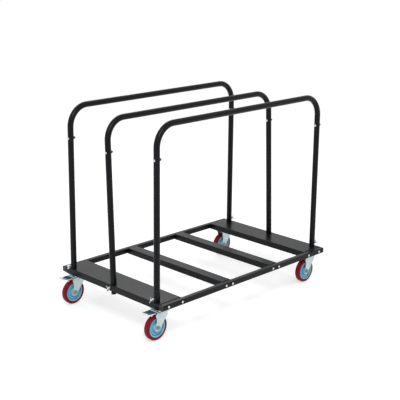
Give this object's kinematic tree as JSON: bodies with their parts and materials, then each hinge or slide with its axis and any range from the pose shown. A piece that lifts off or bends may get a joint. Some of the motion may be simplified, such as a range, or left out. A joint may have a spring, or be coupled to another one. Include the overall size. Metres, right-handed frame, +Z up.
{
  "type": "platform trolley",
  "caption": "Open-frame platform trolley with lift-off tube hoops for standing boards or folded tables, on swivel casters, with foot brakes at one end.",
  "frame": {"origin": "on the floor, below the middle of the overall box", "axes": "+X along the trolley and its hoops, with the braked casters at the -X end; +Y from the near rail to the far one; +Z up"},
  "size_m": [1.2826, 0.7564, 1.0361],
  "materials": {
    "frame_coat": "semi-gloss powder coat",
    "hoop_coat": "semi-gloss powder coat",
    "zinc_steel": "bright zinc plate",
    "bright_steel": "polished",
    "axle_steel": "dulled zinc plate",
    "black_plastic": "matt",
    "red_tread": "satin polyurethane",
    "blue_hub": "satin",
    "pedal_pad": "matt, ribbed"
  },
  "bodies": {
    "platform": {"near_rail": "frame_coat", "far_rail": "frame_coat", "rail_plugs": "black_plastic", "brake_end_plate": "frame_coat", "plain_end_plate": "frame_coat", "cross_member_a": "frame_coat", "cross_member_b": "frame_coat", "rail_bolts": "zinc_steel", "rail_nuts": "zinc_steel", "caster_mount_plates": "frame_coat", "hoop_stubs": "frame_coat", "clamp_nuts": "frame_coat", "caster_top_plates": "zinc_steel", "caster_fasteners": "zinc_steel", "caster_balls": "bright_steel"},
    "near_hoop": {"near_hoop_bow": "hoop_coat", "near_hoop_brake_leg": "hoop_coat", "near_hoop_plain_leg": "hoop_coat", "near_hoop_bolts": "zinc_steel", "near_hoop_nuts": "black_plastic"},
    "middle_hoop": {"middle_hoop_bow": "hoop_coat", "middle_hoop_brake_leg": "hoop_coat", "middle_hoop_plain_leg": "hoop_coat", "middle_hoop_bolts": "zinc_steel", "middle_hoop_nuts": "black_plastic"},
    "far_hoop": {"far_hoop_bow": "hoop_coat", "far_hoop_brake_leg": "hoop_coat", "far_hoop_plain_leg": "hoop_coat", "far_hoop_bolts": "zinc_steel", "far_hoop_nuts": "black_plastic"},
    "near_brake_wing_bolt": {"near_brake_wing_bolt": "zinc_steel"},
    "near_plain_wing_bolt": {"near_plain_wing_bolt": "zinc_steel"},
    "middle_brake_wing_bolt": {"middle_brake_wing_bolt": "zinc_steel"},
    "middle_plain_wing_bolt": {"middle_plain_wing_bolt": "zinc_steel"},
    "far_brake_wing_bolt": {"far_brake_wing_bolt": "zinc_steel"},
    "far_plain_wing_bolt": {"far_plain_wing_bolt": "zinc_steel"},
    "brake_near_swivel": {"brake_near_fork": "zinc_steel", "brake_near_axle": "axle_steel"},
    "brake_near_wheel": {"brake_near_tread": "red_tread", "brake_near_hub": "blue_hub", "brake_near_bearings": "bright_steel"},
    "brake_near_brake_pedal": {"brake_near_pedal": "zinc_steel", "brake_near_pad": "pedal_pad"},
    "brake_far_swivel": {"brake_far_fork": "zinc_steel", "brake_far_axle": "axle_steel"},
    "brake_far_wheel": {"brake_far_tread": "red_tread", "brake_far_hub": "blue_hub", "brake_far_bearings": "bright_steel"},
    "brake_far_brake_pedal": {"brake_far_pedal": "zinc_steel", "brake_far_pad": "pedal_pad"},
    "plain_near_swivel": {"plain_near_fork": "zinc_steel", "plain_near_axle": "axle_steel"},
    "plain_near_wheel": {"plain_near_tread": "red_tread", "plain_near_hub": "blue_hub", "plain_near_bearings": "bright_steel"},
    "plain_far_swivel": {"plain_far_fork": "zinc_steel", "plain_far_axle": "axle_steel"},
    "plain_far_wheel": {"plain_far_tread": "red_tread", "plain_far_hub": "blue_hub", "plain_far_bearings": "bright_steel"}
  },
  "joints": [
    {"name": "near_hoop_lift", "type": "slide", "parent": "platform", "child": "near_hoop", "axis": [0, 0, 1], "range_m": [0, 0.052]},
    {"name": "middle_hoop_lift", "type": "slide", "parent": "platform", "child": "middle_hoop", "axis": [0, 0.0401, 0.9992], "range_m": [0, 0.056]},
    {"name": "far_hoop_lift", "type": "slide", "parent": "platform", "child": "far_hoop", "axis": [0, 0, 1], "range_m": [0, 0.052]},
    {"name": "near_brake_wing_bolt_turn", "type": "hinge", "parent": "near_hoop", "child": "near_brake_wing_bolt", "pos_m": [-0.5863, -0.311, 0.2056], "axis": [-1, 0, 0], "range_deg": [0, 720]},
    {"name": "near_plain_wing_bolt_turn", "type": "hinge", "parent": "near_hoop", "child": "near_plain_wing_bolt", "pos_m": [0.6237, -0.311, 0.2056], "axis": [1, 0, 0], "range_deg": [0, 720]},
    {"name": "middle_brake_wing_bolt_turn", "type": "hinge", "parent": "platform", "child": "middle_brake_wing_bolt", "pos_m": [-0.5863, 0, 0.1745], "axis": [-1, 0, 0], "range_deg": [0, 720]},
    {"name": "middle_plain_wing_bolt_turn", "type": "hinge", "parent": "platform", "child": "middle_plain_wing_bolt", "pos_m": [0.6237, 0, 0.1745], "axis": [1, 0, 0], "range_deg": [0, 720]},
    {"name": "far_brake_wing_bolt_turn", "type": "hinge", "parent": "far_hoop", "child": "far_brake_wing_bolt", "pos_m": [-0.5863, 0.311, 0.2056], "axis": [-1, 0, 0], "range_deg": [0, 720]},
    {"name": "far_plain_wing_bolt_turn", "type": "hinge", "parent": "far_hoop", "child": "far_plain_wing_bolt", "pos_m": [0.6237, 0.311, 0.2056], "axis": [1, 0, 0], "range_deg": [0, 720]},
    {"name": "brake_near_swivel_turn", "type": "hinge", "parent": "platform", "child": "brake_near_swivel", "pos_m": [-0.5333, -0.311, 0.14], "axis": [0, 0, 1], "continuous": true},
    {"name": "brake_near_wheel_roll", "type": "hinge", "parent": "brake_near_swivel", "child": "brake_near_wheel", "pos_m": [-0.5683, -0.311, 0.0635], "axis": [0, 1, 0], "continuous": true},
    {"name": "brake_near_brake_pedal_press", "type": "hinge", "parent": "brake_near_swivel", "child": "brake_near_brake_pedal", "pos_m": [-0.5553, -0.311, 0.1365], "axis": [0, -1, 0], "range_deg": [0, 12]},
    {"name": "brake_far_swivel_turn", "type": "hinge", "parent": "platform", "child": "brake_far_swivel", "pos_m": [-0.5333, 0.311, 0.14], "axis": [0, 0, 1], "continuous": true},
    {"name": "brake_far_wheel_roll", "type": "hinge", "parent": "brake_far_swivel", "child": "brake_far_wheel", "pos_m": [-0.5683, 0.311, 0.0635], "axis": [0, 1, 0], "continuous": true},
    {"name": "brake_far_brake_pedal_press", "type": "hinge", "parent": "brake_far_swivel", "child": "brake_far_brake_pedal", "pos_m": [-0.5553, 0.311, 0.1365], "axis": [0, -1, 0], "range_deg": [0, 12]},
    {"name": "plain_near_swivel_turn", "type": "hinge", "parent": "platform", "child": "plain_near_swivel", "pos_m": [0.5707, -0.311, 0.14], "axis": [0, 0, 1], "continuous": true},
    {"name": "plain_near_wheel_roll", "type": "hinge", "parent": "plain_near_swivel", "child": "plain_near_wheel", "pos_m": [0.5357, -0.311, 0.0635], "axis": [0, 1, 0], "continuous": true},
    {"name": "plain_far_swivel_turn", "type": "hinge", "parent": "platform", "child": "plain_far_swivel", "pos_m": [0.5707, 0.311, 0.14], "axis": [0, 0, 1], "continuous": true},
    {"name": "plain_far_wheel_roll", "type": "hinge", "parent": "plain_far_swivel", "child": "plain_far_wheel", "pos_m": [0.5357, 0.311, 0.0635], "axis": [0, 1, 0], "continuous": true}
  ]
}
